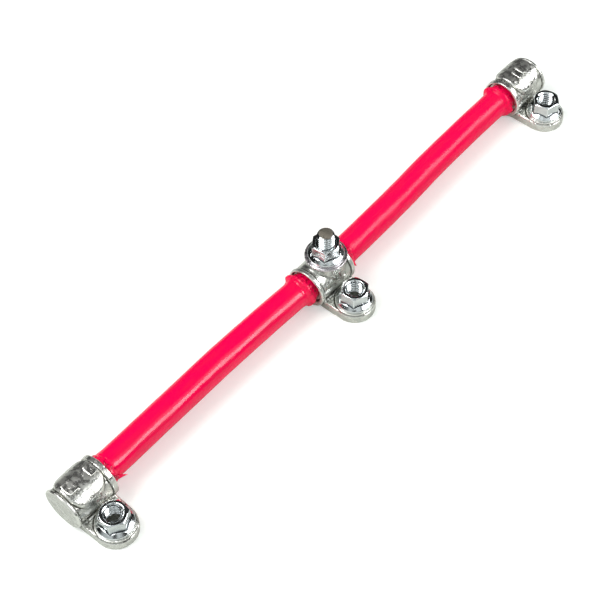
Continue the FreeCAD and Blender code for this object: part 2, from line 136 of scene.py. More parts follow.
def keep_edges(piece: Piece, rule: Callable[[Vector, Vector], bool]) -> None:
    """Deselects what a rule doesn't keep of the selected edges, in edit mode.

    Args:
        piece: the mesh that is edited.
        rule: says by an edge's two ends whether it is kept.
    """
    bpy.ops.object.mode_set(mode="OBJECT")
    mesh = piece.data
    points = mesh.vertices
    kept = [e for e in mesh.edges if e.select and rule(*(points[k].co for k in e.vertices))]
    for group in (points, mesh.edges, mesh.polygons):
        group.foreach_set("select", [False] * len(group))
    for edge in kept:
        edge.select = True
        for k in edge.vertices:
            points[k].select = True
    bpy.ops.object.mode_set(mode="EDIT")


def settle(piece: Piece) -> Piece:
    """Puts a piece's place, turn and scale into its mesh.

    Args:
        piece: the piece.

    Returns:
        The same piece.
    """
    only(piece)
    bpy.ops.object.transform_apply(location=True, rotation=True, scale=True)
    return piece


def finish_with(piece: Piece, kind: str, **settings: object) -> None:
    """Adds one modifier and applies it.

    Args:
        piece: the mesh to change.
        kind: the modifier's type.
        settings: its values by name.
    """
    modifier = piece.modifiers.new(kind.lower(), kind)
    for name, value in settings.items():
        setattr(modifier, name, value)
    only(piece)
    bpy.ops.object.modifier_apply(modifier=modifier.name)


def combine(piece: Piece, tool: Piece, work: Work) -> Piece:
    """Cuts, joins or trims a piece with another one.

    Args:
        piece: the mesh that stays.
        tool: the mesh that is used up.
        work: what the tool does.

    Returns:
        The piece.
    """
    finish_with(piece, "BOOLEAN", operation=work.value, solver="EXACT", object=tool)
    bpy.data.objects.remove(tool, do_unlink=True)
    return piece


def outward(piece: Piece, merge: float = MERGE) -> Piece:
    """Merges doubled points and turns all faces outward.

    Args:
        piece: the mesh.
        merge: how near points are that become one, in metres.

    Returns:
        The same piece.
    """
    with edit(piece):
        bpy.ops.mesh.remove_doubles(threshold=merge)
        bpy.ops.mesh.normals_make_consistent(inside=False)
    return piece


def draw(name: str, outline: Outline) -> Piece:
    """Draws a line beside the Z axis, to be turned into a shape.

    Args:
        name: the new piece's name.
        outline: pairs of radius and height.

    Returns:
        The piece, which has edges and no faces.
    """
    mesh = bpy.data.meshes.new(name)
    points = [(radius * MM, 0.0, height * MM) for radius, height in outline]
    mesh.from_pydata(points, [(k, k + 1) for k in range(len(points) - 1)], [])
    return new_object(name, mesh)


def turn_on_lathe(name: str, outline: Outline, steps: int = 96) -> Piece:
    """Turns an outline round the Z axis.

    Args:
        name: the piece's name.
        outline: pairs of radius and height, from the axis out and back to it.
        steps: flats round the piece.

    Returns:
        The turned piece, closed.
    """
    piece = draw(name, outline)
    with edit(piece):
        bpy.ops.mesh.spin(steps=steps, angle=2 * math.pi, axis=(0, 0, 1), use_auto_merge=True)
    return outward(piece)


def rows(mesh: bpy.types.Mesh, kind: str) -> np.ndarray:
    """Reads a mesh's points.

    Args:
        mesh: the mesh.
        kind: co for their places, normal for their normals.

    Returns:
        One row a point.
    """
    numbers = np.empty(len(mesh.vertices) * 3)
    mesh.vertices.foreach_get(kind, numbers)
    return numbers.reshape(-1, 3)


def move_points(piece: Piece, rule: Callable[[np.ndarray, np.ndarray], np.ndarray]) -> None:
    """Moves every point of a mesh by a rule.

    Args:
        piece: the mesh.
        rule: takes points and their normals, gives the moved points.
    """
    mesh = piece.data
    moved = rule(rows(mesh, "co"), rows(mesh, "normal"))
    mesh.vertices.foreach_set("co", moved.ravel())
    mesh.update()


def melt(piece: Piece, voxel: float, rounds: int) -> None:
    """Gives a piece even faces of a size and melts its edges in so many rounds."""
    finish_with(piece, "REMESH", mode="VOXEL", voxel_size=voxel * MM)
    finish_with(piece, "SMOOTH", iterations=rounds)


def roughen(piece: Piece, grain: float, height: float) -> None:
    """Raises and lowers the skin at random, the same in each run.

    Args:
        piece: the mesh.
        grain: size of the lumps.
        height: height from low to high.
    """
    clouds = bpy.data.textures.new(f"{piece.name} {grain}", "CLOUDS")
    clouds.noise_scale = grain * MM
    clouds.noise_depth = 2
    finish_with(piece, "DISPLACE", texture=clouds, texture_coords="LOCAL", strength=height * MM)


def store(piece: Piece, name: str, values: np.ndarray) -> None:
    """Stores a value for each point of a mesh under a name."""
    piece.data.attributes.new(name, "FLOAT", "POINT").data.foreach_set("value", values)


def mark_edges(piece: Piece, rounds: int = 3) -> None:
    """Stores "ridge": over FLAT on edges, under it in hollows.

    Args:
        piece: the mesh.
        rounds: how often the values are spread to the neighbours.
    """
    mesh = piece.data
    count = len(mesh.vertices)
    points, normals = rows(mesh, "co"), rows(mesh, "normal")
    edges = np.empty(len(mesh.edges) * 2, dtype=np.int64)
    mesh.edges.foreach_get("vertices", edges)
    first, last = edges.reshape(-1, 2).T
    way = points[last] - points[first]
    length = np.maximum(np.linalg.norm(way, axis=1), 1e-9)
    lift, links = np.zeros(count), np.zeros(count)
    np.add.at(lift, first, -(way * normals[first]).sum(1) / length)
    np.add.at(lift, last, (way * normals[last]).sum(1) / length)
    np.add.at(links, first, 1)
    np.add.at(links, last, 1)
    links = np.maximum(links, 1)
    lift /= links
    for _ in range(rounds):
        total = np.zeros(count)
        np.add.at(total, first, lift[last])
        np.add.at(total, last, lift[first])
        lift = (lift + total / links) / 2
    store(piece, "ridge", np.clip(FLAT + STEEP * lift, 0, 1))


def soften(piece: Piece, angle: float = 180) -> Piece:
    """Shades a piece smooth.

    Args:
        piece: the mesh.
        angle: the largest angle between faces that is still smooth.

    Returns:
        The same piece.
    """
    only(piece)
    bpy.ops.object.shade_smooth_by_angle(angle=math.radians(angle))
    return piece


def own_copy(piece: Piece, name: str) -> Piece:
    """Copies a piece with a mesh of its own and none of its custom properties.

    Args:
        piece: the piece to copy.
        name: the copy's name.

    Returns:
        The copy.
    """
    twin = piece.copy()
    twin.data = piece.data.copy()
    twin.name = twin.data.name = name
    for key in list(twin.keys()):
        del twin[key]
    bpy.context.scene.collection.objects.link(twin)
    return twin


# Node work


class Graph:
    """A small writer of node trees."""

    def __init__(self, tree: bpy.types.NodeTree) -> None:
        """Keeps the tree and empties it."""
        self.tree = tree
        tree.nodes.clear()

    def add(self, kind: str, inputs: dict | None = None, **settings: object) -> bpy.types.Node:
        """Adds a node.

        Args:
            kind: the node's type name without its ShaderNode prefix.
            inputs: value or output socket by input name or number.
            settings: the node's own settings.

        Returns:
            The node.
        """
        full = kind if kind.startswith("Node") else "ShaderNode" + kind
        node = self.tree.nodes.new(full)
        for name, value in settings.items():
            setattr(node, name, value)
        for name, value in (inputs or {}).items():
            if isinstance(value, Socket):
                self.tree.links.new(value, node.inputs[name])
            else:
                node.inputs[name].default_value = value
        return node

    def noise(self, place: Socket, scale: object, detail: float) -> Socket:
        """Soft noise, mostly from 0.3 to 0.7, with a scale per metre."""
        return self.add("TexNoise", {"Vector": place, "Scale": scale, "Detail": detail}).outputs[0]

    def stored(self, name: str) -> Socket:
        """The mesh's own attribute of a name."""
        return self.add("Attribute", attribute_name=name, attribute_type="GEOMETRY").outputs["Fac"]

    def blend(self, share: object, low: object, high: object) -> Socket:
        """Mixes two colours, the low one at a share of 0 and the high one at 1."""
        low, high = (end if isinstance(end, Socket) else (*end, 1.0) for end in (low, high))
        return self.add("Mix", {0: share, 6: low, 7: high}, data_type="RGBA").outputs[2]

    def between(
        self, value: object, low: float, high: float, bottom: float = 0.0, top: float = 1.0
    ) -> Socket:
        """Maps a value from low..high softly to bottom..top, held at both ends."""
        ends = {"Value": value, "From Min": low, "From Max": high, "To Min": bottom, "To Max": top}
        return self.add("MapRange", ends, interpolation_type="SMOOTHSTEP").outputs["Result"]

    def math(self, how: str, first: object, second: object = 0.0) -> Socket:
        """One sum on two values."""
        return self.add("Math", {0: first, 1: second}, operation=how).outputs[0]

    def by_ray(self, ray: str, others: Socket, seen: Socket) -> Socket:
        """Shows one kind of ray the seen shader, and the rest the others'."""
        path = self.add("LightPath")
        return self.add("MixShader", {0: path.outputs[ray], 1: others, 2: seen}).outputs[0]

    def skin(self, sockets: dict) -> None:
        """Makes the shader from its inputs and puts it out."""
        shader = self.add("BsdfPrincipled", sockets)
        self.add("OutputMaterial", {"Surface": shader.outputs[0]})


def new_material(name: str) -> tuple[bpy.types.Material, Graph]:
    """Starts a node material.

    Args:
        name: its name.

    Returns:
        The material and the writer of its tree.
    """
    material = bpy.data.materials.new(name)
    material.use_nodes = True
    return material, Graph(material.node_tree)


def wear_group() -> bpy.types.ShaderNodeTree:
    """Grain, stains and worn edges, made once for every metal here.

    Returns:
        A group with the inputs Grain, Stain and Seed (scales per metre and a shift) and the
        outputs Fine, Patch, Ridge and Hollow, each from 0 to 1.
    """
    name = "metal wear"
    if name in bpy.data.node_groups:
        return bpy.data.node_groups[name]
    group = bpy.data.node_groups.new(name, "ShaderNodeTree")
    sockets = {"INPUT": ("Grain", "Stain", "Seed"), "OUTPUT": ("Fine", "Patch", "Ridge", "Hollow")}
    for way, names in sockets.items():
        for socket in names:
            group.interface.new_socket(socket, in_out=way, socket_type="NodeSocketFloat")
    graph = Graph(group)
    source = graph.add("NodeGroupInput").outputs
    place = graph.add("TexCoord").outputs["Object"]
    place = graph.add("VectorMath", {0: place, 1: source["Seed"]}, operation="ADD").outputs[0]
    ridge = graph.stored("ridge")
    masks = {
        "Fine": graph.between(graph.noise(place, source["Grain"], 4.0), 0.3, 0.7),
        "Patch": graph.between(graph.noise(place, source["Stain"], 5.0), 0.35, 0.65),
        "Ridge": graph.between(ridge, 0.53, 0.7),
        "Hollow": graph.between(ridge, 0.485, 0.36),
    }
    graph.add("NodeGroupOutput", masks)
    return group


# Finishes


@dataclass(frozen=True)
class Metal:
    """A metal's finish: the colours of its plain skin, of stained patches and of its hollows, which
    are darker.

    Smooth and rough are the roughness of the plain and the stained skin, bright and dull how
    metallic they are. Grain and stain are scales per metre, bump is the grain's height, relief
    the patches' share of it, and worn how much lighter edges are.
    """

    name: str
    plain: Colour
    stained: Colour
    hollow_colour: Colour
    smooth: float
    rough: float
    grain: float
    stain: float
    bump: float
    bright: float = 1.0
    dull: float = 1.0
    seed: float = 0.0
    relief: float = 0.6
    worn: float = 1.15

    def material(self) -> bpy.types.Material:
        """Makes the finish.

        Returns:
            Its material.
        """
        material, graph = new_material(self.name)
        scales = {"Grain": self.grain, "Stain": self.stain, "Seed": self.seed}
        masks = graph.add("Group", scales, node_tree=wear_group()).outputs
        patch = masks["Patch"]
        colour = graph.blend(patch, self.plain, self.stained)
        # darker colour in the hollows that the stored ridge marks, thread roots among them
        colour = graph.blend(masks["Hollow"], colour, self.hollow_colour)
        edge = tuple(min(1.0, self.worn * part) for part in self.plain)
        colour = graph.blend(masks["Ridge"], colour, edge)
        metallic: object = self.bright
        if self.bright != self.dull:
            metallic = graph.between(patch, 0.0, 1.0, self.bright, self.dull)
        height = graph.math("ADD", masks["Fine"], graph.math("MULTIPLY", patch, self.relief))
        bump = graph.add("Bump", {"Height": height, "Distance": self.bump * MM, "Strength": 1.0})
        roughness = graph.between(patch, 0.0, 1.0, self.smooth, self.rough)
        sockets = {"Base Color": colour, "Metallic": metallic, "Roughness": roughness}
        graph.skin({**sockets, "Normal": bump.outputs[0]})
        return material


@dataclass(frozen=True)
class Rubber:
    """Smooth insulation with dull smears, dented by tears and darkened by painted shade at the
    mouths.

    Smooth and rough are the roughness of the plain and the smeared parts. Smears, grain and the
    patches of tears and painted shade are scales per metre, stretch draws the smears out along the
    cable, and the heights of grain and tears are shares of bump.
    """

    name: str
    plain: Colour = (1.0, 0.0, 0.08)
    smeared: Colour = (0.88, 0.0, 0.068)
    # painted shade: the maroon of the shaded gap where the jacket dips into the rim
    tear_and_shade: Colour = (0.4, 0.0, 0.03)
    smooth: float = 0.13
    rough: float = 0.22
    gloss: float = 0.5
    ior: float = 1.44
    stretch: Point = (0.18, 1.0, 1.0)
    smears: float = 260.0
    grain: float = 1500.0
    grain_share: float = 0.5
    tear_and_shade_scale: float = 520.0
    tear_share: float = 4.0
    bump: float = 0.03

    def material(self) -> bpy.types.Material:
        """Makes the finish.

        Returns:
            Its material.
        """
        material, graph = new_material(self.name)
        place = graph.add("TexCoord").outputs["Object"]
        along = graph.add("Mapping", {"Vector": place, "Scale": self.stretch}).outputs[0]
        smear = graph.between(graph.noise(along, self.smears, 4.0), 0.35, 0.68)
        grain = graph.math("MULTIPLY", graph.noise(place, self.grain, 3.0), self.grain_share)
        # patches near the mouths: tear dents in the bump, and painted shade in the colour
        tear_and_shade_mask = graph.between(graph.noise(place, self.tear_and_shade_scale, 5.0), 0.48, 0.64)
        tear_and_shade_mask = graph.math("MULTIPLY", graph.stored("mouth"), tear_and_shade_mask)
        colour = graph.blend(smear, self.plain, self.smeared)
        height = graph.math("ADD", smear, grain)
        height = graph.math("SUBTRACT", height, graph.math("MULTIPLY", tear_and_shade_mask, self.tear_share))
        bump = graph.add("Bump", {"Height": height, "Distance": self.bump * MM, "Strength": 1.0})
        # painted shade: darkens the jacket in patches at the mouths
        colour = graph.blend(tear_and_shade_mask, colour, self.tear_and_shade)
        roughness = graph.between(smear, 0.0, 1.0, self.smooth, self.rough)
        sockets = {"Base Color": colour, "Roughness": roughness, "Normal": bump.outputs[0]}
        graph.skin({**sockets, "IOR": self.ior, "Specular IOR Level": self.gloss})
        return material


class Finish(Enum):
    """The finishes of the bar."""

    CAST_TIN = Metal(
        "cast tin plating",
        (0.79, 0.79, 0.75), (0.66, 0.66, 0.62), (0.13, 0.13, 0.11),
        smooth=0.19, rough=0.36, grain=620.0, stain=330.0, bump=0.06, bright=0.94, dull=0.84,
    )
    SATIN_TIN = Metal(
        "satin tin plating",
        (0.74, 0.75, 0.70), (0.56, 0.57, 0.53), (0.10, 0.10, 0.09),
        smooth=0.24, rough=0.36, grain=620.0, stain=200.0, bump=0.03, bright=0.94, dull=0.84,
    )
    BRIGHT_ZINC = Metal(
        "bright zinc plating",
        (0.80, 0.83, 0.84), (0.68, 0.71, 0.72), (0.10, 0.11, 0.12),
        smooth=0.08, rough=0.2, grain=2600.0, stain=260.0, bump=0.008, seed=3.0,
    )
    DULL_ZINC = Metal(
        "dull zinc plating",
        (0.66, 0.62, 0.64), (0.46, 0.43, 0.45), (0.10, 0.09, 0.09),
        smooth=0.18, rough=0.32, grain=1800.0, stain=420.0, bump=0.012, bright=0.95, dull=0.8,
        seed=7.0,
    )
    SHEARED_STEEL = Metal(
        "sheared steel",
        (0.50, 0.46, 0.38), (0.26, 0.23, 0.19), (0.12, 0.10, 0.08),
        smooth=0.28, rough=0.5, grain=1500.0, stain=330.0, bump=0.05, bright=0.8, dull=0.6,
        seed=11.0,
    )
    BARE_COPPER = Metal(
        "bare copper",
        (0.78, 0.42, 0.27), (0.55, 0.28, 0.18), (0.2, 0.1, 0.06),
        smooth=0.25, rough=0.45, grain=1200.0, stain=200.0, bump=0.02, seed=5.0,
    )
    RED = Rubber("red insulation")
    SCUFFED_RED = Rubber("scuffed red insulation", smooth=0.2, rough=0.33, gloss=0.25)


Materials = dict[Finish, bpy.types.Material]


def hand_over(piece: Piece, node: str, material: bpy.types.Material) -> Piece:
    """Dresses a finished piece and ties it to the frame.

    Args:
        piece: the finished piece.
        node: the node that it stands for.
        material: its finish.

    Returns:
        The piece.
    """
    piece.data.materials.clear()
    piece.data.materials.append(material)
    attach(piece, "root")
    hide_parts(node)
    return piece


# The terminals


@dataclass
class Mark:
    """A plain raised bar or dot on a barrel.

    Its place is along X and a turn from the top toward the ear; its size is along X, round the
    barrel and out of it.
    """

    along: float
    turn: float
    long: float
    wide: float
    high: float
    dot: bool = False


@dataclass
class Pit:
    """A small casting pit: its place, radius and depth."""

    place: Point
    radius: float
    depth: float


@dataclass
class CastTerminal:
    """One cast terminal, remade from its node with a cast skin.

    The skin is pairs of the size and the height of its lumps. The barrel's axis has a place in
    Y and Z, and the marks' foot is how deep they are sunk.
    """

    side: Side
    finish: Finish = Finish.CAST_TIN
    marks: tuple[Mark, ...] = ()
    pits: tuple[Pit, ...] = ()
    skin: tuple[tuple[float, float], ...] = ((4.4, 0.22), (2.0, 0.12), (0.9, 0.05))
    voxel: float = 0.28
    barrel_y: float = 24.7
    barrel_z: float = 11.7
    barrel: float = 12.9
    foot: float = 1.0

    def raise_mark(self, mark: Mark) -> Piece:
        """Models one raised mark, sunk into the barrel by its foot.

        Args:
            mark: its place and size.

        Returns:
            The mark as a loose piece.
        """
        turn = math.radians(mark.turn)
        out = Vector((0, -math.sin(turn), math.cos(turn)))
        axis = Vector((mark.along, self.barrel_y, self.barrel_z))
        middle = axis + out * (self.barrel + (mark.high - self.foot) / 2)
        shapes = bpy.ops.mesh
        add = shapes.primitive_cylinder_add if mark.dot else shapes.primitive_cube_add
        add(location=middle * MM, rotation=(turn, 0, 0))
        piece = bpy.context.view_layer.objects.active
        piece.scale = Vector((mark.long, mark.wide, mark.high + self.foot)) * (MM / 2)
        return settle(piece)

    def press_pits(self, points: np.ndarray, normals: np.ndarray) -> np.ndarray:
        """Sinks the pits into the skin and keeps its underside flat.

        Args:
            points: the skin's points in metres.
            normals: their normals.

        Returns:
            The moved points.
        """
        moved = points.copy()
        for pit in self.pits:
            away = np.linalg.norm(points - np.array(pit.place) * MM, axis=1) / (pit.radius * MM)
            moved -= normals * (pit.depth * MM * np.clip(1 - away**2, 0, 1))[:, None]
        moved[:, 2] = np.maximum(moved[:, 2], 0.0)
        return moved

    def model(self) -> Piece:
        """Models the casting, with soft edges and an uneven skin.

        Returns:
            The bare casting.
        """
        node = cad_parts[self.side.value]
        piece = own_copy(node, self.side.value + "_casting")
        piece.parent = None
        piece.matrix_world = node.matrix_world.copy()
        settle(piece)
        outward(piece)
        raised = [self.raise_mark(mark) for mark in self.marks]
        if raised:
            only(piece)
            for mark in raised:
                mark.select_set(True)
            bpy.ops.object.join()
        melt(piece, self.voxel, 2)
        for grain, height in self.skin:
            roughen(piece, grain, height)
        mark_edges(piece)
        move_points(piece, self.press_pits)
        return soften(piece)

    def build(self, materials: Materials) -> list[Piece]:
        """Models and dresses the casting."""
        finish = materials[self.finish]
        return [hand_over(self.model(), self.side.value, finish)]


TERMINALS = (
    CastTerminal(
        Side.LEFT, marks=(Mark(-184.4, 1, 5.6, 7.4, 0.16), Mark(-170.8, 2, 4.6, 6.6, 0.16))
    ),
    CastTerminal(
        Side.CENTRE,
        Finish.SATIN_TIN,
        pits=(Pit((4.9, 10.9, 14.5), 1.3, 0.8),),
        skin=((5.2, 0.26), (2.4, 0.08), (0.9, 0.02)),
    ),
    CastTerminal(
        Side.RIGHT,
        marks=(
            Mark(179.6, 3, 1.7, 6.6, 0.5),
            Mark(175.4, 6, 1.5, 6.2, 0.5),
            Mark(171.2, 22, 1.8, 3.4, 0.45, dot=True),
        ),
        pits=(Pit((168.7, -3.8, 5.2), 0.9, 0.4), Pit((172.2, -7.1, 4.6), 0.9, 0.4)),
    ),
)


# The cable


@dataclass
class Bead:
    """The swelling at one mouth.

    Its crest is a distance out of the mouth, with a lift there and a lower one at the mouth,
    the dip.
    """

    out: float
    lift: float
    dip: float

    def swelling(self, away: float) -> float:
        """Gives how far the jacket is swollen.

        Args:
            away: the distance out of the mouth.

        Returns:
            The swelling there.
        """
        out, dip, lift = self.out, self.dip, self.lift
        shape = [
            (-2.6, 0.0), (-1.8, 0.8 * dip), (0.0, dip),
            (out - 1.4, dip + 0.3 * (lift - dip)), (out - 0.6, dip + 0.88 * (lift - dip)),
            (out, lift), (out + 0.8, 0.84 * lift), (out + 1.7, 0.38 * lift),
            (out + 2.6, 0.08 * lift), (out + 3.4, 0.24), (out + 4.2, 0.06), (out + 6.0, 0.0),
        ]
        return float(np.interp(away, *zip(*shape)))


@dataclass
class Wave:
    """A ripple of the skin: its height, lobes round the cable, length along it and shift."""

    height: float
    lobes: int
    length: float
    shift: float = 0.0

    def at(self, turn: np.ndarray, x: np.ndarray) -> np.ndarray:
        """Its height at turns round the cable and places along X."""
        return self.height * np.sin(self.lobes * turn + x / self.length + self.shift)


@dataclass
class Shred:
    """A rag of rubber: its place along X and turn from the top, its width and its pull."""

    along: float
    turn: float
    wide: float
    pull: Point


@dataclass
class Jacket:
    """One length of insulation between two mouths, swollen at both.

    Its mouths are places along X, and its line is pairs of X and Y of the cable's middle. It is
    sunk into each barrel, ripples all over, and has lumps, and tears with painted shade, within a
    reach of the mouths.
    """

    name: str
    finish: Finish
    mouths: tuple[float, float]
    beads: tuple[Bead, Bead]
    line: Outline
    shreds: list[Shred]
    height: float = 12.4
    radius: float = 8.0
    core: float = 6.5
    sunk: float = 6.0
    # reach of the tears and of the painted shade from the mouths
    tear_and_shade: float = 4.5
    pace: float = 2.0
    bead_pace: float = 0.3
    bead_reach: tuple[float, float] = (-2.8, 11.0)
    ripples: tuple[Wave, ...] = (Wave(0.03, 5, 7.0), Wave(0.05, 2, 21.0, 1.0))
    lumps: tuple[Wave, ...] = (Wave(0.16, 4, 2.5), Wave(0.1, 9, -1 / 1.3))
    lump_reach: float = 5.0

    def across(self, x: float | np.ndarray) -> float | np.ndarray:
        """The cable's middle in Y at places along X."""
        return np.interp(x, *zip(*self.line))

    def swelling(self, x: float) -> float:
        """How far the jacket is swollen at a place along X."""
        left, right = self.beads
        return left.swelling(x - self.mouths[0]) + right.swelling(self.mouths[1] - x)

    def stations(self) -> list[float]:
        """Sets out the places where the tube gets a ring, closer at the beads.

        Returns:
            The places, from left to right.
        """
        last = self.mouths[1] + self.sunk
        places = [*np.arange(self.mouths[0] - self.sunk, last, self.pace), last]
        for mouth, way in zip(self.mouths, (1, -1)):
            places += [mouth + way * step for step in np.arange(*self.bead_reach, self.bead_pace)]
        return sorted(set(round(float(place), 3) for place in places))

    def tube(self, name: str, radius: Callable[[float], float]) -> Piece:
        """Models a round tube along the line.

        Args:
            name: the tube's name.
            radius: gives the radius at a place along X.

        Returns:
            The tube, open at its ends.
        """
        places = self.stations()
        curve = bpy.data.curves.new(name, "CURVE")
        curve.dimensions = "3D"
        curve.bevel_depth = MM
        curve.bevel_resolution = 30
        spline = curve.splines.new("POLY")
        spline.points.add(len(places) - 1)
        for point, x in zip(spline.points, places):
            point.co = (x * MM, self.across(x) * MM, self.height * MM, 1)
            point.radius = radius(x)
        only(new_object(name, curve))
        bpy.ops.object.convert(target="MESH")
        return bpy.context.view_layer.objects.active

    def ripple(self, points: np.ndarray, normals: np.ndarray) -> np.ndarray:
        """Gives the skin its ripples, lumps and rags.

        Args:
            points: the skin's points in metres.
            normals: their normals.

        Returns:
            The moved points.
        """
        x, y, z = points.T / MM
        turn = np.arctan2(self.across(x) - y, z - self.height)
        wave = sum(ripple.at(turn, x) for ripple in self.ripples)
        wave = wave + 0.012 * np.sin(x / 2.3 + 3 * np.sin(turn))
        away = np.minimum(x - self.mouths[0], self.mouths[1] - x)
        near = np.exp(-((away / self.lump_reach) ** 2))
        wave += near * sum(lump.at(turn, x) for lump in self.lumps)
        moved = points + normals * (wave * MM)[:, None]
        for shred in self.shreds:
            gap = (np.degrees(turn) - shred.turn + 180) % 360 - 180
            away = np.hypot(x - shred.along, np.radians(gap) * self.radius) / shred.wide
            moved += (np.clip(1 - away, 0, 1) ** 1.5)[:, None] * (np.array(shred.pull) * MM)
        return moved

    def mark_mouths(self, piece: Piece) -> None:
        """Stores "mouth": 1 at the mouths, fading to 0 along the jacket, where the tears and the
        painted shade go.

        Args:
            piece: the jacket.
        """
        x = rows(piece.data, "co")[:, 0] / MM
        away = np.maximum(0.0, np.minimum(x - self.mouths[0], self.mouths[1] - x))
        store(piece, "mouth", np.exp(-((away / self.tear_and_shade) ** 2)))

    def close_end(self, piece: Piece, end: Side) -> None:
        """Bridges the outer and the inner wall at one end.

        Args:
            piece: the jacket.
            end: its left or its right end.
        """
        middle = sum(self.mouths) / 2 * MM
        others = ("use_wire", "use_multi_face", "use_non_contiguous", "use_verts")
        with edit(piece, "EDGE"):
            bpy.ops.mesh.select_non_manifold(extend=False, **dict.fromkeys(others, False))
            keep_edges(piece, lambda first, last: (first.x < middle) == (end is Side.LEFT))
            bpy.ops.mesh.bridge_edge_loops()

    def model(self) -> Piece:
        """Models the jacket, hollow over the conductor.

        Returns:
            The bare jacket.
        """
        outer = self.tube(self.name + "_insulation", lambda x: self.radius + self.swelling(x))
        move_points(outer, self.ripple)
        inner = self.tube(self.name + "_inside", lambda x: self.core)
        with edit(inner):
            bpy.ops.mesh.flip_normals()
        only(outer)
        inner.select_set(True)
        bpy.ops.object.join()
        self.close_end(outer, Side.LEFT)
        self.close_end(outer, Side.RIGHT)
        outward(outer)
        self.mark_mouths(outer)
        return soften(outer, 60)

    def build(self, materials: Materials) -> list[Piece]:
        """Models and dresses the jacket."""
        return [hand_over(self.model(), self.name, materials[self.finish])]


LEFT_JACKET = Jacket(
    "left_jacket",
    Finish.RED,
    (-164.4, -14.5),
    (Bead(1.2, 1.05, 0.7), Bead(3.3, 2.1, 0.5)),
    line=[
        (-192, 24.9), (-143, 24.9), (-111, 25.0), (-79, 25.05), (-62, 24.75), (-45, 24.2),
        (-27, 23.5), (-14, 22.9), (-8, 22.7),
    ],
    shreds=[
        Shred(-161.6, 88, 1.3, (6.8, -3.9, 0.5)), Shred(-163.2, -34, 1.2, (-0.6, 0.7, 1.3)),
        Shred(-161.9, -14, 1.0, (0.9, 0.3, 0.9)), Shred(-163.0, 8, 1.2, (-0.8, 0.0, 1.0)),
        Shred(-162.3, 34, 1.0, (1.1, -0.6, 0.8)), Shred(-163.1, 62, 1.2, (0.5, -1.2, 0.6)),
        Shred(-18.2, -70, 4.4, (-0.4, 0.8, 0.5)), Shred(-16.6, 92, 3.2, (1.0, -1.2, 0.0)),
        Shred(-16.0, 40, 1.1, (0.6, -0.6, 0.6)),
    ],
)
RIGHT_JACKET = Jacket(
    "right_jacket",
    Finish.SCUFFED_RED,
    (12.7, 164.4),
    (Bead(1.6, 1.2, 0.8), Bead(3.3, 2.0, 0.5)),
    line=[
        (6, 22.2), (14, 22.3), (33, 22.45), (52, 22.75), (72, 23.45), (92, 24.5),
        (112, 25.1), (133, 25.3), (154, 25.3), (172, 25.1),
    ],
    shreds=[
        Shred(15.4, 94, 1.5, (1.2, -1.6, -3.0)), Shred(14.4, 20, 1.2, (0.8, -0.5, 1.0)),
        Shred(15.0, -10, 1.1, (1.0, 0.2, 0.8)), Shred(14.2, 58, 1.2, (0.8, -1.1, 0.6)),
        Shred(161.3, -66, 4.0, (-0.3, 0.6, 0.3)), Shred(162.2, 96, 2.2, (0.9, -1.2, -0.4)),
    ],
)


# Nuts, stud and washer


@dataclass(frozen=True)
class Thread:
    """A 3/8-16 thread as a helical ridge on a rod."""

    pitch: float = 1.5875
    crest: float = 4.76
    root: float = 3.83
    steps: int = 48

    def rod(self, name: str, low: float, high: float, grow: float = 0.0) -> Piece:
        """Models a threaded rod on the Z axis.

        Args:
            name: the rod's name.
            low: its lower end.
            high: its upper end.
            grow: what is added to the thread's radius.

        Returns:
            The rod, closed at both ends.
        """
        base = (math.floor(low / self.pitch) - 1) * self.pitch
        turns = math.ceil((high - base) / self.pitch) + 1
        crest, root = self.crest + grow, self.root + grow
        ridge = [(0.0, root), (0.09, root), (0.44, crest), (0.56, crest), (0.91, root), (1.0, root)]
        piece = draw(name, [(radius, base + share * self.pitch) for share, radius in ridge])
        steps = {"iterations": turns, "steps": self.steps, "render_steps": self.steps}
        finish_with(piece, "SCREW", axis="Z", screw_offset=self.pitch * MM, **steps)
        outward(piece)
        for height, inner in ((low, True), (high, False)):
            with edit(piece):
                sides = {"clear_inner": inner, "clear_outer": not inner, "use_fill": True}
                plane = {"plane_co": (0, 0, height * MM), "plane_no": (0, 0, 1)}
                bpy.ops.mesh.bisect(threshold=1e-8, **plane, **sides)
        return outward(piece)


